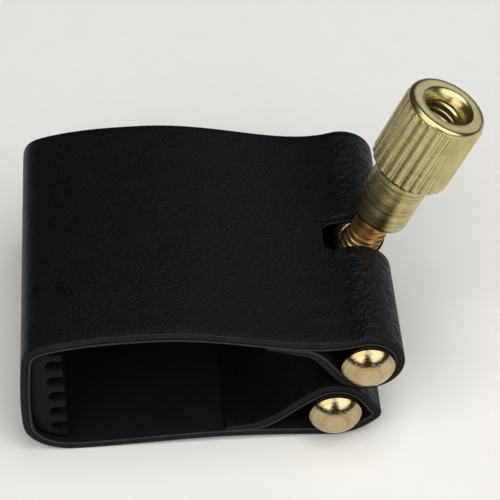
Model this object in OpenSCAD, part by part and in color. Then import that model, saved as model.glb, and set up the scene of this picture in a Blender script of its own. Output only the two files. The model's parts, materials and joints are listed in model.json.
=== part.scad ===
// Saxophone ligature: a folded leather strap with a ribbed pad inside, two cross barrels
// in the strap's end loops, and a knurled thumbscrew that draws the barrels together.
// The mouthpiece passes through the strap along Y. X runs from the fold to the screw.

/* [Strap] */
// Width of the strap, along the mouthpiece
strap_w = 30; // [24:0.5:38]
// Inside of the opening, from the fold's wall to the axis of the lower barrel
opening_l = 30.2; // [26:0.1:36]
// Inside height of the folded opening
opening_h = 14.4; // [12:0.1:18]
// Thickness of the grained leather
leather_t = 0.7; // [0.5:0.05:1.2]
// Thickness of the lining that backs the leather
lining_t = 0.3; // [0.2:0.05:0.5]
// Where the top flap is highest, from the middle of the opening
crown_x = -2.8; // [-5:0.1:1]
// How far the top flap falls from its crown to the fold
fold_drop = 1.05; // [0.4:0.05:1.8]
// How far the bottom flap arches up off the table
arch_rise = 0.6; // [0:0.05:1.2]
// How far the pinched fold of the lower loop stands out past its barrel
beak_out = 0.75; // [0.5:0.05:1.5]
// Part of the full thickness that is left at the pared ends
pared_to = 0.3; // [0.2:0.05:0.6]

/* [Pad] */
// Length of the ribbed pad, along the mouthpiece
pad_l = 28.8; // [20:0.1:38]
// Thickness of the pad
pad_t = 3.5; // [2.5:0.1:5]
// Number of grooves
groove_n = 5; // [3:1:7]
// Height of the pad, as a part of the opening's height
pad_share = 0.847; // [0.6:0.001:0.86]
// Width of a groove, whose end is a half round
groove_w = 1.3; // [0.8:0.05:1.5]
// Depth of a groove
groove_depth = 1.65; // [1:0.05:2.2]
// Height of the pad's middle above the middle of the opening
pad_z = -0.7; // [-1.5:0.1:0]

/* [Screw] */
// Diameter over the crests of the thread
stud_d = 3.7; // [3:0.1:4.5]
// Distance from the screw's tip to the axis of the lower barrel
stud_below = 0.6; // [0:0.1:1.5]
// How far the stud goes up into the shoulder and head
stud_in_head = 8; // [5:0.1:12]
// How far the screw is backed off from the upper loop
backed_off = 2.4; // [1:0.1:4]
// Lean of the screw from upright, towards +X
lean = 23.5; // [15:0.5:28]
// Diameter of the head over its knurl
head_d = 8.3; // [7.5:0.1:11]
// Length of the knurled head
head_l = 9; // [7:0.1:12]
// Number of ridges of the knurl
knurl_n = 26; // [20:1:36]
// Depth of the knurl
knurl_depth = 0.25; // [0.1:0.01:0.3]
// Diameter of the plain shoulder
shoulder_d = 5.9; // [5.5:0.1:7]
// Length of the shoulder
shoulder_l = 6.6; // [4:0.1:9]
// Wall of the tapped hole that shows in the head
tapped_d = 3.3; // [2.6:0.1:4]
// Diameter of the countersink in the head's face
sink_d = 5; // [4:0.1:6]

/* [Barrels] */
// Brass left beside the hole, at the sides of a barrel
side_wall = 0.5; // [0.3:0.05:1]
// Play of the screw in the upper barrel's hole, at each side
hole_play = 0.3; // [0.2:0.05:0.5]
// How far the straight part of a barrel stands out of the strap, at each end
barrel_out = 0.5; // [0:0.1:1.5]
// Height of the domed ends
dome_h = 1.4; // [0.8:0.05:2]

/* [Fits] */
// Running clearance, at each side, of threads and of barrels in their loops
fit = 0.05; // [0.02:0.01:0.1]
// Gap between the two loops
loop_gap = 0.1; // [0.1:0.05:1]
// Clearance of the screw, at each side, in the slot through the loops
slot_clear = 0.35; // [0.2:0.05:0.8]

/* [Hidden] */
$fn = 96;
eps = 0.01;

function dir(a) = [cos(a), sin(a)];

strap_t = leather_t + lining_t;
barrel_d = stud_d + 2 * hole_play + 2 * side_wall;
loop_r = barrel_d / 2 + fit;           // the lining's side of a loop
loop_out_r = loop_r + strap_t;         // the leather's side of a loop
barrel_step = 2 * loop_out_r + loop_gap;
wall_x = -opening_l / 2;
top_z = opening_h / 2;
bottom_z = -opening_h / 2;
lower_c = [opening_l / 2, bottom_z + loop_r];
upper_c = lower_c + barrel_step * [sin(lean), cos(lean)];

// Lengths along the screw's axis, counted from the upper barrel's own axis
shoulder_at = loop_out_r + backed_off;
knurl_at = shoulder_at + shoulder_l;
head_top = knurl_at + head_l;
stud_tip = -barrel_step - stud_below;
stud_top = shoulder_at + stud_in_head;

// The strap's course is drawn on the lining's bare side, which lies to the left of the
// way it runs: upper loop, top flap, fold, bottom flap, lower loop. A waypoint is
// [place, heading, reach of its handle].
function ring(c, a, reach) = [c + loop_r * dir(a), a + 90, reach];
function curve_at(a, b, t) =
    let (p1 = a[0] + a[2] * dir(a[1]), p2 = b[0] - b[2] * dir(b[1]), u = 1 - t)
    u * u * u * a[0] + 3 * u * u * t * p1 + 3 * u * t * t * p2 + t * t * t * b[0];
function curve(a, b, n, from = 0, to = 1) =
    [for (i = [round(from * n) : round(to * n)]) curve_at(a, b, i / n)];
function arc(c, r, a0, a1, step = 6) =
    let (n = max(1, round((a1 - a0) / step)))
    [for (i = [0 : n]) c + r * dir(a0 + (a1 - a0) * i / n)];
function backwards(v) = [for (i = [len(v) - 1 : -1 : 0]) v[i]];
// Joins stretches end to end, leaving out each doubled point
function join(v) = [for (k = [0 : len(v) - 1], i = [k == 0 ? 0 : 1 : len(v[k]) - 1]) v[k][i]];

corner_drop = 1.55;                    // height of the fold's top corner
corner_r = 2.5;                        // size of the fold's bottom corner
flap_steps = 20;
top_leave = ring(upper_c, 105, 6);
crown = [[crown_x, top_z], 180, 8];
crown_down = [crown[0], 180, 4];
fold_top = [[wall_x + 1.9, top_z - fold_drop], 196, 3];
fold_start = [[fold_top[0].x, fold_top[0].y], 196, 1];
wall_top = [[wall_x + 0.55, top_z - fold_drop - corner_drop], 264, 0.9];
wall_down = [wall_top[0], 264, 2.8];
wall_foot = [[wall_x + 0.1, bottom_z + corner_r + 0.3], 274, 2.6];
foot_turn = [wall_foot[0], 274, 1.5];
floor_start = [[wall_x + corner_r + 1.6, bottom_z], 0, 2.2];
floor_run = [floor_start[0], 0, 4];
arch_in = [[4, bottom_z + arch_rise], 0, 4];
arch_out = [arch_in[0], 0, 3.5];
bottom_arrive = ring(lower_c, 264, 3);
beak_c = lower_c + [loop_r + beak_out, -0.27 * loop_r];
beak_r = 0.25;

upper_leg_lands = 0.3;                 // share of the top flap's curve
upper_leg_ends = 0.5;
lower_leg_lands = 0.25;                // share of the bottom flap's last curve
lower_leg_ends = 0;
top_flap = curve(top_leave, crown, flap_steps);
bottom_flap = curve(arch_out, bottom_arrive, flap_steps);
function slope(v, i) = let (d = v[i + 1] - v[i - 1]) atan2(d.y, d.x);
upper_land_i = round(upper_leg_lands * flap_steps);
lower_land_i = round(lower_leg_lands * flap_steps);

upper_loop = join([
    backwards(curve(top_leave, crown, flap_steps, upper_leg_lands, upper_leg_ends)),
    curve([top_flap[upper_land_i], slope(top_flap, upper_land_i) + 180, 1.8],
          ring(upper_c, 220, 2), 8),
    arc(upper_c, loop_r, 220, 360 + 105, 5)]);
body_run = join([
    arc(upper_c, loop_r, 90, 105, 5),
    top_flap,
    curve(crown_down, fold_top, 8),
    curve(fold_start, wall_top, 7),
    curve(wall_down, wall_foot, 6),
    curve(foot_turn, floor_start, 9),
    curve(floor_run, arch_in, 8),
    bottom_flap,
    arc(lower_c, loop_r, 264, 279, 5)]);
lower_loop = join([
    arc(lower_c, loop_r, 264, 284, 5),
    curve(ring(lower_c, 284, 0.66 * loop_r), [beak_c + beak_r * dir(-52), 38, 0.23 * loop_r], 5),
    arc(beak_c, beak_r, -52, 42, 20),
    curve([beak_c + beak_r * dir(42), 132, 0.31 * loop_r], ring(lower_c, 62, 0.6 * loop_r), 5),
    arc(lower_c, loop_r, 62, 120, 5),
    curve(ring(lower_c, 120, 3), [bottom_flap[lower_land_i],
          slope(bottom_flap, lower_land_i) + 180, 2.4], 10),
    backwards(curve(arch_out, bottom_arrive, flap_steps, lower_leg_ends, lower_leg_lands))]);

function right_of(v, i) =
    let (d = v[min(i + 1, len(v) - 1)] - v[max(i - 1, 0)]) [d.y, -d.x] / norm(d);
function run_to(v) = [for (i = 0, s = 0; i < len(v);
    s = s + (i + 1 < len(v) ? norm(v[i + 1] - v[i]) : 0), i = i + 1) s];
// A layer of the strap: its two faces lie at depths lo and hi from the bare side.
// head and tail are the lengths of the pared ends. An end that isn't pared runs on into
// the next stretch, so its last point only sets the slope there.
module layer(v, lo, hi, head = 0, tail = 0) {
    s = run_to(v);
    whole = s[len(s) - 1];
    share = [for (x = s)
        let (a = head > 0 ? x / head : 1, b = tail > 0 ? (whole - x) / tail : 1)
        pared_to + (1 - pared_to) * min(1, a, b)];
    first = head > 0 ? 0 : 1;
    last = len(v) - (tail > 0 ? 1 : 2);
    near = [for (i = [first : last]) v[i] + lo * share[i] * right_of(v, i)];
    far = [for (i = [first : last]) v[i] + hi * share[i] * right_of(v, i)];
    polygon(concat(near, backwards(far)));
}
pared_l = 4.5;
module strap_section(lo, hi) {
    layer(upper_loop, lo, hi, head = pared_l);
    layer(body_run, lo, hi);
    layer(lower_loop, lo, hi, tail = pared_l);
}

// Turns an XZ drawing into a slab of width w, centred on Y = 0
module slab(w) { rotate([90, 0, 0]) translate([0, 0, -w / 2]) linear_extrude(w) children(); }
// Sets a child drawn along +Z on the screw's axis
module on_screw() { translate([upper_c.x, 0, upper_c.y]) rotate([0, lean, 0]) children(); }
// Sets a child drawn along +Z across the strap, on a barrel's axis
module on_barrel(c) { translate([c.x, 0, c.y]) rotate([90, 0, 0]) children(); }

slot_w = stud_d + 2 * slot_clear;
slot_back = 3.7;                       // how far the slot runs to the fold's side of the screw
slot_reach = 12;                       // past all of the loops on the other side
module loop_slot() {
    on_screw() {
        // open slot through the upper loop, from its top round to the underside
        translate([-slot_back, -slot_w / 2, 0]) cube([slot_back + slot_reach, slot_w, slot_reach]);
        translate([-slot_w / 2, -slot_w / 2, -barrel_step / 2])
            cube([slot_w / 2 + slot_reach, slot_w, barrel_step / 2 + eps]);
        // slot through the lower loop, for the stud only
        translate([-slot_w / 2, -slot_w / 2, -barrel_step - slot_reach])
            cube([slot_w, slot_w, slot_reach + barrel_step]);
    }
}
module strap_layer(lo, hi) {
    difference() {
        slab(strap_w) strap_section(lo, hi);
        loop_slot();
    }
}
module strap_leather() { color([0.06, 0.06, 0.065]) strap_layer(lining_t, strap_t); }
module strap_lining() { color([0.35, 0.35, 0.36]) strap_layer(0, lining_t); }

module groove(z) {
    x = wall_x + pad_t - groove_depth + groove_w / 2;
    translate([x, z]) circle(d = groove_w, $fn = 24);
    translate([x, z - groove_w / 2]) square([groove_depth, groove_w]);
}
module ribbed_pad() {
    pad_h = pad_share * opening_h;
    groove_pitch = (pad_h + groove_w) / (groove_n + 1);
    color([0.22, 0.22, 0.23]) slab(pad_l) difference() {
        intersection() {
            polygon(body_run);
            translate([wall_x - 1, pad_z - pad_h / 2]) square([pad_t + 1, pad_h]);
        }
        for (i = [0 : groove_n - 1]) groove(pad_z + (i - (groove_n - 1) / 2) * groove_pitch);
    }
}

module barrel(c, hole_d) {
    r = barrel_d / 2;
    half = strap_w / 2 + barrel_out;
    dome_r = (r * r + dome_h * dome_h) / (2 * dome_h);
    difference() {
        on_barrel(c) rotate_extrude() {
            translate([0, -half]) square([r, 2 * half]);
            for (side = [0, 1]) mirror([0, side]) intersection() {
                translate([0, half + dome_h - dome_r]) circle(dome_r, $fn = 240);
                translate([0, half - eps]) square([r, 2 * dome_h]);
            }
        }
        translate([c.x, 0, c.y]) rotate([0, lean, 0])
            translate([0, 0, -barrel_d]) cylinder(d = hole_d, h = 2 * barrel_d);
    }
}
module upper_barrel() { color([0.83, 0.72, 0.42]) barrel(upper_c, stud_d + 2 * hole_play); }
module lower_barrel() { color([0.83, 0.72, 0.42]) barrel(lower_c, stud_d + 2 * fit); }

stud_bevel = 0.45;
module threaded_stud() {
    color([0.78, 0.58, 0.3]) on_screw() {
        translate([0, 0, stud_tip]) cylinder(d1 = stud_d - 2 * stud_bevel, d2 = stud_d, h = stud_bevel);
        translate([0, 0, stud_tip + stud_bevel])
            cylinder(d = stud_d, h = stud_top - stud_tip - 2 * stud_bevel);
        translate([0, 0, stud_top - stud_bevel])
            cylinder(d1 = stud_d, d2 = stud_d - 2 * stud_bevel, h = stud_bevel);
    }
}

rim = 0.7;                             // rounding of the head's rim
under_bevel = 0.8;                     // bevel where the knurl runs out above the shoulder
shoulder_bevel = 0.6;
sink_depth = (sink_d - tapped_d) / 2;
// Half section of the head and shoulder, with the stud's hole below and the tapped hole above
module head_section() {
    r = head_d / 2;
    stud_hole_r = stud_d / 2 + fit;
    stud_hole_top = stud_top + fit;
    polygon(concat(
        [[stud_hole_r, shoulder_at], [shoulder_d / 2 - shoulder_bevel, shoulder_at],
         [shoulder_d / 2, shoulder_at + shoulder_bevel], [shoulder_d / 2, knurl_at],
         [r - under_bevel, knurl_at], [r, knurl_at + under_bevel]],
        [for (a = [0 : 15 : 90]) [r - rim, head_top - rim] + rim * dir(a)],
        [[sink_d / 2, head_top], [tapped_d / 2, head_top - sink_depth],
         [tapped_d / 2, stud_hole_top], [stud_hole_r, stud_hole_top]]));
}
// The knurl's grooves, cut from a little under the rim down through the bevel
module knurl_grooves() {
    groove_share = 0.45;
    run_out = 0.15;
    w = groove_share * PI * head_d / knurl_n;
    for (i = [0 : knurl_n - 1]) rotate(360 * (i + 0.5) / knurl_n)
        translate([head_d / 2 - knurl_depth, -w / 2, knurl_at - 1]) cube([1, w, head_l - rim - run_out + 1]);
}
module knurled_head() {
    color([0.8, 0.76, 0.52]) on_screw() difference() {
        rotate_extrude() head_section();
        knurl_grooves();
    }
}

strap_leather();
strap_lining();
ribbed_pad();
upper_barrel();
lower_barrel();
threaded_stud();
knurled_head();
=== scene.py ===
# %% [markdown]
# # A leather ligature with two cross barrels and a thumbscrew
# A ligature holds the reed on a saxophone's mouthpiece. This one is a leather strap, folded
# so that its two ends meet at one side. Each end is turned back into a loop round a brass
# barrel. A screw runs through both barrels and draws the loops together.
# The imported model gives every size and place. This lesson builds the looks around it.

import json
import math

import bmesh
import bpy
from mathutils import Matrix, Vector


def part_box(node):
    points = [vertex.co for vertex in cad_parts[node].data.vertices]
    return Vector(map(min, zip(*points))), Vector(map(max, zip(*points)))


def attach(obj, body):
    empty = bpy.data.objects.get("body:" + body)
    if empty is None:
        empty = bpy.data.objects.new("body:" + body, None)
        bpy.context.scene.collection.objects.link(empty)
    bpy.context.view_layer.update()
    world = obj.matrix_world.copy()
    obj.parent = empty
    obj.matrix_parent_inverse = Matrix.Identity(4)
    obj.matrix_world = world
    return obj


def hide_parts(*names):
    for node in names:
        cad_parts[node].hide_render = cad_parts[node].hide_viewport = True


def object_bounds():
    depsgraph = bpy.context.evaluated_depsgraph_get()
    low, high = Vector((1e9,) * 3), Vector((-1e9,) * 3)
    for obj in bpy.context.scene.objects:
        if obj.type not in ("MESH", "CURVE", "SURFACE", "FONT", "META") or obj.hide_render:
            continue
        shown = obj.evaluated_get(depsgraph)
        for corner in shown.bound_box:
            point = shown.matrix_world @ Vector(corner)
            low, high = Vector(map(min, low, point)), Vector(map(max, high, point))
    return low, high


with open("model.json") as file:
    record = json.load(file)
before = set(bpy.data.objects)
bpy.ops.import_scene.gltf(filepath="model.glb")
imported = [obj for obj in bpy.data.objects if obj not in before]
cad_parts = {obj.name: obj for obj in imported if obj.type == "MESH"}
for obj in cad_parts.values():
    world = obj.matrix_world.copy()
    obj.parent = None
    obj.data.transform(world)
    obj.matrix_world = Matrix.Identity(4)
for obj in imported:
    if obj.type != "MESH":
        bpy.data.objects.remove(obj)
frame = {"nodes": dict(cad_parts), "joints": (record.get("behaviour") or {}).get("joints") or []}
cad_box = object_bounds()
MM = 0.001
NEAR = 1e-7  # two points this close are one
print("packed model, lowest and highest corner:", [list(c) for c in cad_box])

# %% [markdown]
# ## Where things are
# The joints of the record say where the two barrels turn and which way the screw points.
# The boxes of the nodes give the width of the strap and the size of a barrel.

# %% Read the places from the record
joints = {joint["name"]: joint for joint in frame["joints"]}
lower_c = Vector(joints["barrel_rock"]["pos_m"])
upper_c = Vector(joints["upper_barrel_rock"]["pos_m"])
screw_axis = Vector(joints["screw_advance"]["axis"]).normalized()
lean = math.atan2(screw_axis.x, screw_axis.z)
screw_side = Vector((screw_axis.z, 0, -screw_axis.x))
shoulder_at = (Vector(joints["screw_turn"]["pos_m"]) - upper_c).dot(screw_axis)
strap_low, strap_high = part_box("strap_leather")
strap_w = strap_high.y - strap_low.y
barrel_low, barrel_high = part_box("upper_barrel")
barrel_r = (barrel_high.z - barrel_low.z) / 2
barrel_step = (upper_c - lower_c).length
print(f"strap {strap_w / MM:.1f} mm wide, barrels {barrel_r / MM:.2f} mm in radius, "
      f"{barrel_step / MM:.2f} mm apart, screw leaning {math.degrees(lean):.1f} degrees")

# %% [markdown]
# ## Small helpers for modelling
# An operator acts on everything that is selected, so each step first says what it works on.
# `pick` selects vertices, edges or faces in edit mode by a test on their place.


# %% Selecting and finishing
def only(obj):
    """Makes obj the one selected and active object."""
    bpy.ops.object.select_all(action="DESELECT")
    obj.select_set(True)
    bpy.context.view_layer.objects.active = obj


def edit(obj):
    """Goes into edit mode on obj alone."""
    only(obj)
    bpy.ops.object.mode_set(mode="EDIT")


def leave_edit():
    bpy.ops.object.mode_set(mode="OBJECT")


def pick(obj, kind, test):
    """Selects what passes the test, in edit mode, and returns how many there are."""
    bpy.ops.mesh.select_mode(type=kind)
    bpy.ops.mesh.select_all(action="DESELECT")
    mesh = bmesh.from_edit_mesh(obj.data)
    parts = {"VERT": mesh.verts, "EDGE": mesh.edges, "FACE": mesh.faces}[kind]
    parts.ensure_lookup_table()
    chosen = [part for part in parts if test(part)]
    for part in chosen:
        part.select_set(True)
    mesh.select_flush_mode()
    bmesh.update_edit_mesh(obj.data)
    return len(chosen)


def apply_modifier(obj, kind, **settings):
    """Adds a modifier with these settings and applies it."""
    only(obj)
    modifier = obj.modifiers.new(kind.lower(), kind)
    for key, value in settings.items():
        setattr(modifier, key, value)
    bpy.ops.object.modifier_apply(modifier=modifier.name)


def smooth(obj, degrees):
    """Shades obj smooth, except at edges sharper than this angle."""
    only(obj)
    bpy.ops.object.shade_smooth_by_angle(angle=math.radians(degrees))


def set_on_screw(obj):
    """Moves a piece that was made upright at the origin on to the screw's axis."""
    only(obj)
    obj.rotation_euler = (0, lean, 0)
    obj.location = upper_c
    bpy.ops.object.transform_apply(location=True, rotation=True, scale=True)


def tell(obj):
    """Prints a piece's triangles and size."""
    mesh = obj.data
    mesh.calc_loop_triangles()
    size = [round(d / MM, 2) for d in obj.dimensions]
    print(f"{obj.name}: {len(mesh.loop_triangles)} triangles, {size} mm")


# %% [markdown]
# ## The table, the light and the camera
# A small shiny thing is lit by what it mirrors. Two soft boxes stand in front, with a gap
# between them, so that each brass dome shows two bright windows. A third hangs over the
# right side. A weak, cool light behind, to the right, shows in the head's face. The table is
# plain and pale.

# %% Camera
aim = Vector((7.4, -3.0, 6.9)) * MM
camera_azimuth = math.radians(-4)
camera_elevation = math.radians(45.5)
camera_distance = 0.2


def seen_from(azimuth, elevation):
    """Direction from the object to a place at that azimuth and elevation. 0, 0 is -Y."""
    flat = math.cos(elevation)
    return Vector((math.sin(azimuth) * flat, -math.cos(azimuth) * flat, math.sin(elevation)))


def facing(direction):
    """The turn of a camera or lamp that stands in that direction and looks back."""
    return direction.to_track_quat("Z", "Y").to_euler()


back = seen_from(camera_azimuth, camera_elevation)
bpy.ops.object.camera_add(location=aim + camera_distance * back, rotation=facing(back))
camera = bpy.context.object
camera.data.lens = 144
camera.data.sensor_width = 36
camera.data.clip_start = 0.01
bpy.context.scene.camera = camera
bpy.context.scene.view_settings.view_transform = "Standard"
print("camera at", [round(v / MM, 1) for v in camera.location], "mm")


# %% Soft boxes and the room
def soft_box(name, azimuth, elevation, distance, size, power, colour):
    """A rectangular lamp that faces the object. Angles in degrees, distance in metres."""
    away = seen_from(math.radians(azimuth), math.radians(elevation))
    bpy.ops.object.light_add(type="AREA", location=distance * away, rotation=facing(away))
    light = bpy.context.object
    light.name = name
    light.data.shape = "RECTANGLE"
    light.data.size, light.data.size_y = size
    light.data.energy = power
    light.data.color = colour
    return light


soft_box("window_left", -41, 43, 0.55, (0.46, 0.5), 1.7, (1.0, 0.98, 0.94))
soft_box("window_right", 41, 43, 0.55, (0.46, 0.5), 1.6, (1.0, 0.98, 0.94))
soft_box("overhead", 80, 80, 0.6, (0.35, 0.35), 1.3, (1.0, 0.99, 0.97))
soft_box("room_behind", 135, 24, 0.9, (0.5, 0.36), 0.55, (0.9, 0.95, 1.0))
world = bpy.data.worlds.new("room")
bpy.context.scene.world = world
world.use_nodes = True
room = next(n for n in world.node_tree.nodes if n.type == "BACKGROUND")
room.inputs["Color"].default_value = (0.05, 0.043, 0.038, 1)
room.inputs["Strength"].default_value = 1.0

# %% [markdown]
# ## Shader maths in plain Python
# `Wire` stands for one output of a node, and sums and products of wires add Math nodes.
# `Bench` holds one material and adds any other node.


# %% Wire and Bench
class Wire:
    """One output in a material. Sums, differences and products add Math nodes."""

    def __init__(self, bench, socket):
        self.bench, self.socket = bench, socket

    def math(self, operation, a, b, clamp=False):
        settings = {"operation": operation, "use_clamp": clamp}
        return self.bench.node("ShaderNodeMath", settings, {0: a, 1: b})

    def __add__(self, other):
        return self.math("ADD", self, other)

    def __sub__(self, other):
        return self.math("SUBTRACT", self, other)

    def __rsub__(self, other):
        return self.math("SUBTRACT", other, self)

    def __mul__(self, other):
        return self.math("MULTIPLY", self, other)

    __radd__ = __add__
    __rmul__ = __mul__

    def between(self, low, high, to_low=0.0, to_high=1.0):
        """low to high becomes to_low to to_high, eased and held at the ends."""
        settings = {"interpolation_type": "SMOOTHSTEP"}
        inputs = {"Value": self, "From Min": low, "From Max": high,
                  "To Min": to_low, "To Max": to_high}
        return self.bench.node("ShaderNodeMapRange", settings, inputs)


class Bench:
    """The nodes of one material."""

    def __init__(self, name):
        self.material = bpy.data.materials.new(name)
        self.material.use_nodes = True
        self.tree = self.material.node_tree
        self.surface = next(n for n in self.tree.nodes if n.type == "BSDF_PRINCIPLED")

    def feed(self, socket, value):
        if isinstance(value, Wire):
            self.tree.links.new(value.socket, socket)
        else:
            socket.default_value = value

    def node(self, kind, settings=None, inputs=None, output=0):
        """Adds a node, makes its settings, feeds its inputs and returns one output."""
        made = self.tree.nodes.new(kind)
        for key, value in (settings or {}).items():
            setattr(made, key, value)
        for key, value in (inputs or {}).items():
            self.feed(made.inputs[key], value)
        return Wire(self, made.outputs[output])

    def place(self, turn=(0, 0, 0), stretch=(1, 1, 1), middle=(0, 0, 0)):
        """Object coordinates in a turned frame, with what is drawn stretched along it."""
        at = self.node("ShaderNodeTexCoord", output="Object")
        return self.node("ShaderNodeMapping", {"vector_type": "TEXTURE"},
                         {"Vector": at, "Location": middle, "Rotation": turn,
                          "Scale": stretch})

    def noise(self, at, size, detail=3.0, roughness=0.55):
        """Noise whose blotches are about size metres across."""
        return self.node("ShaderNodeTexNoise", {"noise_dimensions": "3D"},
                         {"Vector": at, "Scale": 1 / size, "Detail": detail,
                          "Roughness": roughness})

    def mix(self, factor, a, b):
        """Colour a where factor is 0, b where it is 1."""
        return self.node("ShaderNodeMix", {"data_type": "RGBA"}, {0: factor, 6: a, 7: b}, 2)

    def relief(self, height, depth, strength=1.0, under=None):
        """A bump of that height, in metres, on top of another bump."""
        inputs = {"Height": height, "Distance": depth, "Strength": strength}
        if under is not None:
            inputs["Normal"] = under
        return self.node("ShaderNodeBump", None, inputs)

    def finish(self, **inputs):
        for key, value in inputs.items():
            self.feed(self.surface.inputs[key.replace("_", " ")], value)
        print("material", self.material.name, "has", len(self.tree.nodes), "nodes")
        return self.material


def rgb(r, g, b):
    return (r, g, b, 1.0)


# %% [markdown]
# ## The table
# A plain pale sheet under the strap, which isn't part of the object.

# %% Table
bench = Bench("pale_table")
fine = bench.noise(bench.place(), 0.004)
table_finish = bench.finish(
    Base_Color=bench.mix(fine, rgb(0.86, 0.86, 0.85), rgb(0.9, 0.9, 0.89)), Roughness=0.75)
bpy.ops.mesh.primitive_plane_add(size=4, location=(0, 0, cad_box[0][2] - 0.02 * MM))
table = bpy.context.object
table.name = "table"
table.data.materials.append(table_finish)

# %% [markdown]
# ## The leather's finish
# The grain side is black, with small rounded cells, creases between them and a soft sheen. The
# creases also get painted shade: their colour is darker than the cells'. Where the leather turns
# round the upper barrel the grain is stretched into slanting wrinkles. The cut edges are black
# too, but rough and fibrous, so they are a finish of their own.

# %% Grained leather
bench = Bench("grained_leather")
at = bench.place()
cells = bench.node("ShaderNodeTexVoronoi", {"feature": "DISTANCE_TO_EDGE"},
                   {"Vector": at, "Scale": 1 / (0.55 * MM), "Randomness": 1.0})
# The crease mask sinks the creases in the bump and paints shade in them: darker colour at the
# cells' edges.
crease_and_shade = cells.between(0.0, 0.22)
pores = bench.noise(at, 0.16 * MM, 2.0)
waves = bench.noise(at, 5 * MM, 2.0)
place_x = bench.node("ShaderNodeSeparateXYZ", None, {0: at}, 0)
on_loop = place_x.between(upper_c.x - 2.5 * MM, upper_c.x + 4.0 * MM)
pull = Vector((0.5, 0.2, -0.85)).to_track_quat("X", "Z").to_euler()
slanted = bench.place(pull, (3, 1, 1))
wrinkles = bench.noise(slanted, 0.8 * MM, 3.0, 0.62).between(0.32, 0.62)
worn = bench.noise(at, 9 * MM, 4.0)
big = bench.relief(waves, 0.22 * MM)
folds = bench.relief(wrinkles * on_loop, 0.45 * MM, 1.0, big)
skin = bench.relief(crease_and_shade * 0.8 + pores * 0.35, 0.03 * MM, 0.8, folds)
# Painted shade: the grain's creases get the darker colour, the cells the lighter one.
leather_finish = bench.finish(
    Base_Color=bench.mix(crease_and_shade, rgb(0.0012, 0.0019, 0.0032), rgb(0.0024, 0.0034, 0.0052)),
    Roughness=0.34 + worn * 0.14 + pores * 0.1,
    Specular_IOR_Level=0.2,
    Normal=skin)

# %% Cut edge of the leather
bench = Bench("cut_edge")
at = bench.place()
fibres = bench.noise(bench.place((0, 0, 0), (1, 2.5, 1)), 0.12 * MM, 4.0, 0.7)
patches = bench.noise(at, 1.6 * MM, 2.0)
edge_finish = bench.finish(
    Base_Color=bench.mix(fibres * patches * 1.8,
                         rgb(0.0022, 0.0026, 0.003), rgb(0.014, 0.014, 0.0135)),
    Roughness=0.62 + fibres * 0.2,
    Specular_IOR_Level=0.15,
    Normal=bench.relief(fibres, 0.06 * MM, 0.7))


# %% Lining, its dark face with painted shade, and its pale cut rim
def lining_cloth(name, dark, pale):
    """Fine cloth, from dark to pale. The face and the cut rim differ only in colour, and the
    face's colour holds painted shade.
    """
    bench = Bench(name)
    at = bench.place()
    nap = bench.noise(at, 0.1 * MM, 4.0, 0.7)
    cloud = bench.noise(at, 2.5 * MM, 3.0)
    return bench.finish(
        Base_Color=bench.mix(nap * 0.6 + cloud * 0.5, dark, pale), Roughness=0.9,
        Specular_IOR_Level=0.15,
        Normal=bench.relief(nap, 0.07 * MM, 0.8))


# The face lies only inside the fold and the loops: a dark cloth, painted darker still as the
# shade that falls there.
lining_face_and_shade = lining_cloth("lining_face_and_shade", rgb(0.002, 0.002, 0.0023), rgb(0.006, 0.006, 0.006))
lining_rim = lining_cloth("lining_rim", rgb(0.004, 0.004, 0.0042), rgb(0.055, 0.055, 0.052))

# %% [markdown]
# ## The line that the strap follows
# Seen from the side, the strap is one line: round the upper barrel, along the top, down the
# fold, back along the bottom and round the lower barrel. Each stretch is a cubic curve
# between two waypoints, and a waypoint is a place, a heading and the reach of its handle.
# Lengths here are in mm and angles in degrees.

# %% Waypoints and curves
LEATHER, LINING = 0.7, 0.3
low, up = lower_c / MM, upper_c / MM
loop_r = barrel_r / MM + 0.05
wall_x = -low.x
bottom_z = low.z - loop_r
top_z = -bottom_z
fold_drop, corner_drop, corner_r, arch_rise = 1.05, 1.55, 2.5, 0.6
FINE = 3  # points for each step of a curve
FLAP_STEPS = 20
TOP_LAND, TOP_END = 0.3, 0.5  # where on the top flap its turned-back end lands and stops
LOW_LAND = 0.25  # where on the bottom flap its turned-back end lands
BEAK_OUT = 0.75  # how far the pinched fold of the lower loop reaches past the loop


def point_at(angle, r=1.0):
    """The point at that angle on a circle round the origin."""
    return Vector((r * math.cos(math.radians(angle)), r * math.sin(math.radians(angle))))


def flat(c):
    """A place as seen from the side, without its Y."""
    return Vector((c.x, c.z))


def ring(c, angle, reach):
    """A waypoint on the loop round c, heading along the loop."""
    return flat(c) + point_at(angle, loop_r), angle + 90, reach


def curve(a, b, steps, start=0.0, end=1.0):
    """The points of the cubic curve from waypoint a to b, or of a part of it."""
    p0, p3 = Vector(a[0]), Vector(b[0])
    p1, p2 = p0 + point_at(a[1], a[2]), p3 - point_at(b[1], b[2])
    n = steps * FINE
    line = []
    for i in range(round(start * n), round(end * n) + 1):
        t = i / n
        u = 1 - t
        line.append(u**3 * p0 + 3 * u * u * t * p1 + 3 * u * t * t * p2 + t**3 * p3)
    return line


def arc(c, r, a0, a1, step):
    """Points on a circle from angle a0 to a1, two for each step of degrees."""
    n = max(1, round((a1 - a0) / step)) * 2
    return [c + point_at(a0 + (a1 - a0) * i / n, r) for i in range(n + 1)]


def slope(line, i):
    """The heading of a line at its point i."""
    d = line[i + 1] - line[i - 1]
    return math.degrees(math.atan2(d.y, d.x))


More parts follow.
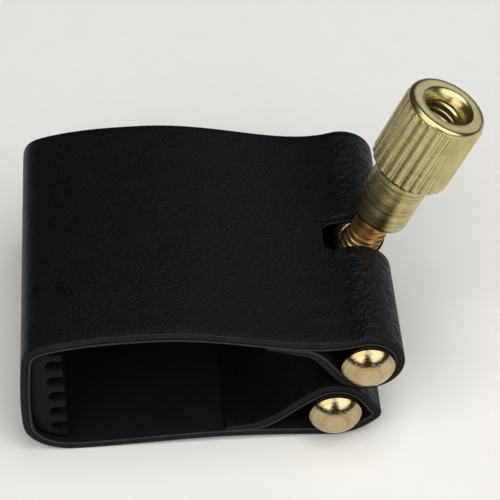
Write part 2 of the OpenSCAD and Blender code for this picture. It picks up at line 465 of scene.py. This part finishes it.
crown_at = (-2.8, top_z)
fold_at = (wall_x + 1.9, top_z - fold_drop)
wall_at = (wall_x + 0.55, top_z - fold_drop - corner_drop)
foot_at = (wall_x + 0.1, bottom_z + corner_r + 0.3)
floor_at = (wall_x + corner_r + 1.6, bottom_z)
arch_at = (4, bottom_z + arch_rise)
top_leave, crown = ring(up, 105, 6), (crown_at, 180, 8)
bottom_arrive, arch_out = ring(low, 264, 3), (arch_at, 0, 3.5)
top_flap = curve(top_leave, crown, FLAP_STEPS)
bottom_flap = curve(arch_out, bottom_arrive, FLAP_STEPS)
beak_c = flat(low) + Vector((loop_r + BEAK_OUT, -0.27 * loop_r))
beak_r = 0.25
top_land = round(TOP_LAND * FLAP_STEPS) * FINE
low_land = round(LOW_LAND * FLAP_STEPS) * FINE

stretches = [
    curve(top_leave, crown, FLAP_STEPS, TOP_LAND, TOP_END)[::-1],
    curve((top_flap[top_land], slope(top_flap, top_land) + 180, 1.8), ring(up, 220, 2), 8),
    arc(flat(up), loop_r, 220, 465, 5),
    top_flap,
    curve((crown_at, 180, 4), (fold_at, 196, 3), 8),
    curve((fold_at, 196, 1), (wall_at, 264, 0.9), 7),
    curve((wall_at, 264, 2.8), (foot_at, 274, 2.6), 6),
    curve((foot_at, 274, 1.5), (floor_at, 360, 2.2), 9),
    curve((floor_at, 0, 4), (arch_at, 0, 4), 8),
    bottom_flap,
    arc(flat(low), loop_r, 264, 284, 5),
    curve(ring(low, 284, 0.66 * loop_r), (beak_c + point_at(-52, beak_r), 38, 0.23 * loop_r), 5),
    arc(beak_c, beak_r, -52, 42, 20),
    curve((beak_c + point_at(42, beak_r), 132, 0.31 * loop_r), ring(low, 62, 0.6 * loop_r), 5),
    arc(flat(low), loop_r, 62, 120, 5),
    curve(ring(low, 120, 3),
          (bottom_flap[low_land], slope(bottom_flap, low_land) + 180, 2.4), 10),
    curve(arch_out, bottom_arrive, FLAP_STEPS, 0.0, LOW_LAND)[::-1],
]
bare = list(stretches[0])
for stretch in stretches[1:]:
    bare += stretch[1:]
run = [0.0]
for a, b in zip(bare, bare[1:]):
    run.append(run[-1] + (b - a).length)
print(f"the strap's line has {len(bare)} points and is {run[-1]:.1f} mm long")

# %% [markdown]
# ## Drawing the strap out
# Leather and lining share one face, so a single thin sheet is drawn along that face: a
# plane's far edge is extruded from point to point, as pulling it along the line would.
# The sheet is sliced across its width for even faces. The slot for the screw is then cut
# out of the sheet, with rounded corners.

# %% Share of the thickness left at the pared ends, and the shared face
PARED_L, PARED_TO = 4.5, 0.3
share = [PARED_TO + (1 - PARED_TO) * min(1, s / PARED_L, (run[-1] - s) / PARED_L) for s in run]


def right_of(line, i):
    """The direction to the right of a line at its point i, towards the leather."""
    d = line[min(i + 1, len(line) - 1)] - line[max(i - 1, 0)]
    return Vector((d.y, -d.x)).normalized()


face_line = [p + LINING * share[i] * right_of(bare, i) for i, p in enumerate(bare)]
spots = [Vector((p.x, 0, p.y)) * MM for p in face_line]


# %% Draw the sheet
def across_screw(p):
    """How far a point is from the screw's axis, towards its side, and along it."""
    away = p - upper_c
    return away.dot(screw_side), away.dot(screw_axis)


slot_w = 4.4 * MM
slot_back = 3.7 * MM  # from the screw's axis to the slot's start on the top
SLICES = 10  # on each side of the slot
bpy.ops.object.select_all(action="DESELECT")
bpy.ops.mesh.primitive_plane_add(size=strap_w, location=(0, 0, 0))
sheet = bpy.context.object
sheet.name = "strap_sheet"
edit(sheet)
pick(sheet, "EDGE", lambda e: all(v.co.x > 0 for v in e.verts))
bpy.ops.transform.translate(value=spots[1] - Vector((strap_w / 2, 0, 0)))
pick(sheet, "EDGE", lambda e: all(v.co.x < -strap_w / 4 for v in e.verts))
bpy.ops.transform.translate(value=spots[0] + Vector((strap_w / 2, 0, 0)))
far = spots[1]
pick(sheet, "EDGE", lambda e: all((v.co - far).xz.length < 1e-6 for v in e.verts))
for here, there in zip(spots[1:], spots[2:]):
    bpy.ops.mesh.extrude_region_move(TRANSFORM_OT_translate={"value": there - here})
slices = [slot_w / 2 + (strap_w / 2 - slot_w / 2) * i / SLICES for i in range(SLICES)]
for y in [0.0] + slices + [-s for s in slices]:
    bpy.ops.mesh.select_all(action="SELECT")
    bpy.ops.mesh.bisect(plane_co=(0, y, 0), plane_no=(0, 1, 0), threshold=NEAR)
leave_edit()
tell(sheet)

# %% Cut the slot, with round corners where it starts on the top
corner = 1.1 * MM
slot_start = min((p for p in spots if across_screw(p)[1] > 0),
                 key=lambda p: abs(across_screw(p)[0] + slot_back))
edit(sheet)
for side in (-1, 1):
    middle = Vector((slot_start.x + corner, side * (slot_w / 2 - corner), 0))
    for angle in (20, 45, 70):
        out = Vector((-math.cos(math.radians(angle)), side * math.sin(math.radians(angle)), 0))
        pick(sheet, "FACE", lambda f: f.calc_center_median().z > upper_c.z
             and (f.calc_center_median() - middle).xy.length < 2 * corner)
        bpy.ops.mesh.bisect(plane_co=middle + corner * out, plane_no=out, threshold=NEAR)


def in_slot(face):
    """Whether a face of the sheet lies where the screw has to pass."""
    at = face.calc_center_median()
    side, along = across_screw(at)
    if abs(at.y) > slot_w / 2:
        return False
    if along <= -barrel_step / 2:
        return abs(side) < slot_w / 2
    if along <= 0:
        return side > -slot_w / 2
    if side < -slot_back:
        return False
    if side < -slot_back + corner + 0.3 * MM:
        middle = Vector((slot_start.x + corner, math.copysign(slot_w / 2 - corner, at.y), 0))
        beyond = at.x < middle.x and abs(at.y) > abs(middle.y)
        return not (beyond and (at - middle).xy.length > corner)
    return True


cut = pick(sheet, "FACE", in_slot)
bpy.ops.mesh.delete(type="FACE")
pick(sheet, "VERT", lambda v: not v.link_faces)
bpy.ops.mesh.delete(type="VERT")
leave_edit()
print("faces cut for the slot:", cut)

# %% [markdown]
# ## Two layers from one sheet
# Solidify gives each layer its thickness, leather to one side of the shared face and lining
# to the other. A weight on the points near the two ends pares them thin. The rim that
# Solidify makes takes the cut edge's finish. A bevel then rounds the edges.


# %% Make the leather and the lining
def pared(obj):
    """A weight on each point: its share of the thickness."""
    group = obj.vertex_groups.new(name="pared")
    for vertex in obj.data.vertices:
        near = min(range(len(spots)), key=lambda i: (spots[i] - vertex.co).xz.length_squared)
        group.add([vertex.index], share[near], "REPLACE")


pared(sheet)
first = sheet.data.polygons[0]
wanted = Vector((right_of(face_line, 0).x, 0, right_of(face_line, 0).y))
turned = 1 if first.normal.dot(wanted) > 0 else -1


def layer(name, thickness, side, rounding, finishes):
    """One layer, to side 1 or -1 of the shared face, in mm. The last finish is the rim's."""
    only(sheet)
    bpy.ops.object.duplicate()
    made = bpy.context.object
    made.name = made.data.name = name
    for finish in finishes:
        made.data.materials.append(finish)
    apply_modifier(made, "SOLIDIFY", thickness=thickness * MM, offset=side * turned,
                   use_even_offset=True, vertex_group="pared", thickness_vertex_group=0.0,
                   material_offset_rim=len(finishes) - 1)
    apply_modifier(made, "BEVEL", width=rounding * MM, segments=3, limit_method="ANGLE",
                   angle_limit=math.radians(60), use_clamp_overlap=False)
    smooth(made, 50)
    tell(made)
    return made


leather = layer("leather", LEATHER, 1, 0.2, [leather_finish, edge_finish])
lining = layer("lining", LINING, -1, 0.05, [lining_face_and_shade, lining_rim])
bpy.data.objects.remove(sheet)
for piece, node in ((leather, "strap_leather"), (lining, "strap_lining")):
    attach(piece, "strap")
    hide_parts(node)

# %% [markdown]
# ## The ribbed pad
# A moulded pad inside the fold presses on the reed, with grooves between its ribs. Its
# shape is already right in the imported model, so a copy of it is merged and its sharp edges
# are rounded, as they come out of a mould.

# %% Pad finish and pad
bench = Bench("moulded_rubber")
at = bench.place()
specks = bench.noise(at, 0.14 * MM, 3.0, 0.6)
bloom = bench.noise(at, 3 * MM, 3.0)
pad_finish = bench.finish(
    Base_Color=bench.mix(bloom, rgb(0.0018, 0.0021, 0.0028), rgb(0.0038, 0.0042, 0.0052)),
    Roughness=0.5 + specks * 0.2,
    Specular_IOR_Level=0.1,
    Normal=bench.relief(specks, 0.03 * MM, 0.6))

pad = bpy.data.objects.new("pad", frame["nodes"]["ribbed_pad"].data.copy())
bpy.context.collection.objects.link(pad)
pad.data.materials.clear()
pad.data.materials.append(pad_finish)
edit(pad)
bpy.ops.mesh.select_all(action="SELECT")
bpy.ops.mesh.remove_doubles(threshold=1e-6)
bpy.ops.mesh.dissolve_limited(angle_limit=math.radians(0.5))
leave_edit()
apply_modifier(pad, "BEVEL", width=0.1 * MM, segments=2, limit_method="ANGLE",
               angle_limit=math.radians(50), use_clamp_overlap=False)
smooth(pad, 35)
tell(pad)
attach(pad, "strap")
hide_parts("ribbed_pad")

# %% [markdown]
# ## Brass
# The barrels and the head are turned from brass bar and polished. Each keeps faint rings
# from the lathe, a few small dents and a slight tarnish. The stud is a little redder.


# %% Brass finishes
def brass(name, pale, deep, shine, turn, middle, plain_to=1.0):
    """Turned brass. turn brings Z to the lathe's axis, and middle is a point on it.

    The rings from the lathe show up to the height plain_to, where a knurl starts.
    """
    bench = Bench(name)
    at = bench.place()
    lathe = bench.place(turn, (50, 50, 1), middle)
    rings = bench.noise(lathe, 0.5 * MM, 5.0, 0.75)
    height = bench.node("ShaderNodeSeparateXYZ", None, {0: lathe}, 2)
    lines = rings.between(0.46, 0.58) * height.between(plain_to, plain_to + 0.2 * MM, 1.0, 0.0)
    stain = bench.noise(at, 1.7 * MM, 4.0, 0.6)
    dents = bench.noise(at, 0.45 * MM, 2.0).between(0.66, 0.72)
    bumps = bench.relief(rings, 0.05 * MM, 1.0)
    bumps = bench.relief(1 - dents, 0.012 * MM, 0.6, bumps)
    return bench.finish(
        Base_Color=bench.mix(stain.between(0.3, 0.7) * 0.4 + lines * 0.6, pale, deep),
        Metallic=1.0,
        Roughness=shine + rings.between(0.3, 0.7) * 0.06 + stain * 0.08,
        Normal=bumps)


along_y = (math.radians(90), 0, 0)
along_screw = (0, lean, 0)
upper_brass = brass("upper_barrel_brass", rgb(0.56, 0.46, 0.27), rgb(0.4, 0.29, 0.14), 0.06,
                    along_y, upper_c)
lower_brass = brass("lower_barrel_brass", rgb(0.54, 0.44, 0.26), rgb(0.38, 0.27, 0.13), 0.06,
                    along_y, lower_c)
head_brass = brass("head_brass", rgb(0.6, 0.52, 0.26), rgb(0.3, 0.24, 0.09), 0.17,
                   along_screw, upper_c, shoulder_at + 6.6 * MM)
stud_brass = brass("stud_brass", rgb(0.78, 0.55, 0.27), rgb(0.62, 0.4, 0.15), 0.22,
                   along_screw, upper_c)

# %% [markdown]
# ## Turning on the lathe
# A turned piece starts as a ring of points. The ring is extruded up and resized, again and
# again, along the piece's outline. Where the outline reaches the axis, the ring is merged
# into one point.


# %% Lathe
def lathe(name, sides, outline):
    """Turns an outline of (radius, height) in mm. Radius 0 closes the piece."""
    (r0, z0), (r1, z1) = outline[0], outline[1]
    closed_foot = r0 == 0
    bpy.ops.object.select_all(action="DESELECT")
    start = (r1, z1) if closed_foot else (r0, z0)
    bpy.ops.mesh.primitive_circle_add(vertices=sides, radius=start[0] * MM,
                                      fill_type="NOTHING", location=(0, 0, start[1] * MM))
    made = bpy.context.object
    made.name = made.data.name = name
    bpy.ops.object.transform_apply(location=True, rotation=True, scale=True)
    edit(made)
    bpy.ops.mesh.select_all(action="SELECT")
    r, z = start
    for r_next, z_next in outline[2 if closed_foot else 1:]:
        bpy.ops.mesh.extrude_region_move(
            TRANSFORM_OT_translate={"value": (0, 0, (z_next - z) * MM)})
        if r_next == 0:
            bpy.ops.mesh.merge(type="CENTER")
        else:
            bpy.ops.transform.resize(value=(r_next / r, r_next / r, 1),
                                     center_override=(0, 0, z_next * MM))
        r, z = r_next, z_next
    if closed_foot:
        pick(made, "VERT", lambda v: abs(v.co.z - start[1] * MM) < 1e-7
             and abs(v.co.xy.length - start[0] * MM) < 1e-6 and v.is_boundary)
        bpy.ops.mesh.extrude_region_move(
            TRANSFORM_OT_translate={"value": (0, 0, (z0 - z1) * MM)})
        bpy.ops.mesh.merge(type="CENTER")
    bpy.ops.mesh.select_all(action="SELECT")
    bpy.ops.mesh.normals_make_consistent(inside=False)
    leave_edit()
    return made


def dome(r, height, from_z, steps, up):
    """A spherical cap, from its edge to just short of its pole."""
    ball = (r * r + height * height) / (2 * height)
    edge = math.asin(r / ball)
    return [(ball * math.sin(edge * (1 - i / steps)),
             from_z + up * (ball * math.cos(edge * (1 - i / steps)) - ball + height))
            for i in range(steps + 1)][:-1] + [(0, from_z + up * height)]


# %% [markdown]
# ## The two barrels
# A barrel is a brass rod with domed ends, and a cross hole for the screw. The upper one is
# bored with play, so its hole has a visible edge beside the thread.

# %% Barrels
dome_h = 1.4
half = (barrel_high.y - barrel_low.y) / 2 / MM - dome_h
rod = barrel_r / MM
BESIDE_HOLE = (3.0, 4.5)  # rings on each side of the cross hole, which keep the rod straight
HOLE_REACH = 2.9


def barrel(name, c, hole_r, finish):
    """A rod along Y with domed ends, drilled across along the screw's axis."""
    near, off = BESIDE_HOLE
    foot = dome(rod, dome_h, -half, 16, -1)[::-1]
    head = dome(rod, dome_h, half, 16, 1)
    shaft = [(rod, y) for y in (-half + 0.1, -off, -near, near, off, half - 0.1)]
    made = lathe(name, 96, foot + shaft + head)
    made.rotation_euler = (math.radians(90), 0, 0)
    made.location = c
    only(made)
    bpy.ops.object.transform_apply(location=True, rotation=True, scale=True)
    bpy.ops.object.select_all(action="DESELECT")
    bpy.ops.mesh.primitive_cylinder_add(vertices=64, radius=hole_r, depth=4 * barrel_r,
                                        location=c, rotation=(0, lean, 0))
    drill = bpy.context.object
    apply_modifier(made, "BOOLEAN", operation="DIFFERENCE", object=drill, solver="EXACT")
    bpy.data.objects.remove(drill)
    edit(made)

    def hole_edge(e):
        if len(e.link_faces) != 2 or any(abs(v.co.y) > HOLE_REACH * MM for v in e.verts):
            return False
        return e.calc_face_angle(0) > math.radians(28)

    edges = pick(made, "EDGE", hole_edge)
    bpy.ops.mesh.bevel(offset=0.16 * MM, segments=2, affect="EDGES", clamp_overlap=False)
    leave_edit()
    made.data.materials.clear()
    made.data.materials.append(finish)
    smooth(made, 32)
    tell(made)
    print("   rounded edges at the cross hole:", edges)
    return made


upper_rod = barrel("upper_rod", upper_c, 2.15 * MM, upper_brass)
lower_rod = barrel("lower_rod", lower_c, 1.9 * MM, lower_brass)
for piece, node in ((upper_rod, "upper_barrel"), (lower_rod, "lower_barrel")):
    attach(piece, node)
    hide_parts(node)

# %% [markdown]
# ## The threaded stud
# A thread is one tooth's outline, carried round and up the axis. The Screw modifier does
# that. Both ends are then sliced off square and closed. The same steps with other sizes
# make the tap that cuts the thread inside the head.

# %% Thread
PITCH = 0.7
SHOULDER_L, HEAD_L = 6.6, 9
STUD_IN_HEAD = 8  # how far the stud reaches above the shoulder's foot
STUD_BELOW = 0.6  # how far it reaches past the lower barrel's axis


def thread(name, r_root, r_crest, z_from, z_to, steps):
    """A threaded rod with square ends, upright on the origin. Sizes in mm."""
    bpy.ops.object.select_all(action="DESELECT")
    bpy.ops.mesh.primitive_plane_add(size=PITCH * MM)
    made = bpy.context.object
    made.name = made.data.name = name
    tooth = [(r_root, 0.0), (r_root, 0.1), (r_crest, 0.42), (r_crest, 0.58), (r_root, 0.9),
             (r_root, 1.0)]
    edit(made)
    pick(made, "VERT", lambda v: v.co.x > 0)
    bpy.ops.mesh.delete(type="VERT")
    pick(made, "VERT", lambda v: v.co.y > 0)
    bpy.ops.mesh.delete(type="VERT")
    bpy.ops.mesh.select_all(action="SELECT")
    start = Vector((-PITCH / 2 * MM, -PITCH / 2 * MM, 0))
    here = Vector((tooth[0][0], 0, z_from - 1.5 * PITCH)) * MM
    bpy.ops.transform.translate(value=here - start)
    for (r0, t0), (r1, t1) in zip(tooth, tooth[1:]):
        bpy.ops.mesh.extrude_region_move(
            TRANSFORM_OT_translate={"value": ((r1 - r0) * MM, 0, (t1 - t0) * PITCH * MM)})
    leave_edit()
    turns = math.ceil((z_to - z_from) / PITCH) + 3
    apply_modifier(made, "SCREW", axis="Z", angle=2 * math.pi, screw_offset=PITCH * MM,
                   iterations=turns, steps=steps, render_steps=steps,
                   use_merge_vertices=True, merge_threshold=1e-6)
    edit(made)
    bpy.ops.mesh.select_all(action="SELECT")
    bpy.ops.mesh.remove_doubles(threshold=2e-6)
    for z, outer in ((z_from, False), (z_to, True)):
        bpy.ops.mesh.select_all(action="SELECT")
        bpy.ops.mesh.bisect(plane_co=(0, 0, z * MM), plane_no=(0, 0, 1), threshold=NEAR,
                            clear_outer=outer, clear_inner=not outer)
    bpy.ops.mesh.select_all(action="SELECT")
    bpy.ops.mesh.fill_holes(sides=0)
    bpy.ops.mesh.normals_make_consistent(inside=False)
    leave_edit()
    return made


screw_low, screw_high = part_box("threaded_stud")
stud_r = (screw_high.y - screw_low.y) / 2 / MM
stud_top = shoulder_at / MM + STUD_IN_HEAD
stud_tip = -barrel_step / MM - STUD_BELOW
stud = thread("stud", stud_r - 0.4, stud_r, stud_tip, stud_top, 48)
CHAMFER = 0.45
for vertex in stud.data.vertices:
    to_end = min(vertex.co.z / MM - stud_tip, stud_top - vertex.co.z / MM)
    most = (stud_r - CHAMFER + max(to_end, 0)) * MM
    if vertex.co.xy.length > most:
        vertex.co.xy = vertex.co.xy.normalized() * most
stud.data.materials.clear()
stud.data.materials.append(stud_brass)
set_on_screw(stud)
smooth(stud, 28)
tell(stud)
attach(stud, "stud")
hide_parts("threaded_stud")

# %% [markdown]
# ## The knurled head
# The head is turned from the foot of its shoulder to the mouth of the hole in its face.
# The knurl is straight: 26 grooves are pressed into its side. All columns of points that
# lie in a groove are drawn in towards the axis. Last, the tap cuts the thread.

# %% Head
RIDGES, COLUMNS = 26, 8
knurl_at = shoulder_at / MM + SHOULDER_L
head_top = knurl_at + HEAD_L
crown_r, groove_r = 4.15, 3.9
bore = stud_r + 0.05
rim_r, rim = 4.06, 0.52
foot = shoulder_at / MM
outline = [(0, stud_top + 0.05), (bore, stud_top + 0.05), (bore, foot + 0.15),
           (bore + 0.15, foot), (2.4, foot), (2.62, foot + 0.1), (2.85, foot + 0.42),
           (2.92, foot + 0.58), (2.95, foot + 0.8), (2.95, knurl_at - 0.3),
           (2.95, knurl_at - 0.02), (3.05, knurl_at), (3.35, knurl_at),
           (groove_r, knurl_at + 0.55), (crown_r, knurl_at + 0.8),
           (crown_r, head_top - rim - 0.2), (rim_r, head_top - rim - 0.06)]
outline += [(rim_r - rim + rim * math.cos(math.radians(a)),
             head_top - rim + rim * math.sin(math.radians(a))) for a in range(0, 90, 15)]
outline += [(3.3, head_top), (2.76, head_top), (2.63, head_top - 0.03),
            (2.52, head_top - 0.1), (2.3, head_top - 0.32), (2.1, head_top - 0.58),
            (1.98, head_top - 0.8), (1.9, head_top - 1.05), (1.78, head_top - 1.3),
            (1.74, head_top - 1.5)]
hole_floor = stud_top + 0.4
outline += [(1.74, hole_floor), (0, hole_floor)]
head = lathe("head", RIDGES * COLUMNS, outline)
edit(head)


def column(v):
    """Which of a ridge's columns a point lies in."""
    turn = math.atan2(v.co.y, v.co.x) / (2 * math.pi) % 1
    return round(turn * RIDGES * COLUMNS) % COLUMNS


def on_knurl(v):
    return v.co.xy.length > (crown_r - 0.01) * MM


for columns, r in (((5, 6), groove_r), ((4, 7), groove_r + 0.07), ((0, 3), crown_r - 0.06)):
    moved = pick(head, "VERT", lambda v: on_knurl(v) and column(v) in columns)
    bpy.ops.transform.resize(value=(r / crown_r, r / crown_r, 1), center_override=(0, 0, 0))
    print("points drawn in for the knurl:", moved)
leave_edit()
tap = thread("tap", 1.7, 2.08, hole_floor + 0.3, head_top - 1.0, 48)
apply_modifier(head, "BOOLEAN", operation="DIFFERENCE", object=tap, solver="EXACT")
bpy.data.objects.remove(tap)
head.data.materials.clear()
head.data.materials.append(head_brass)
set_on_screw(head)
smooth(head, 26)
tell(head)
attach(head, "head")
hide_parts("knurled_head")
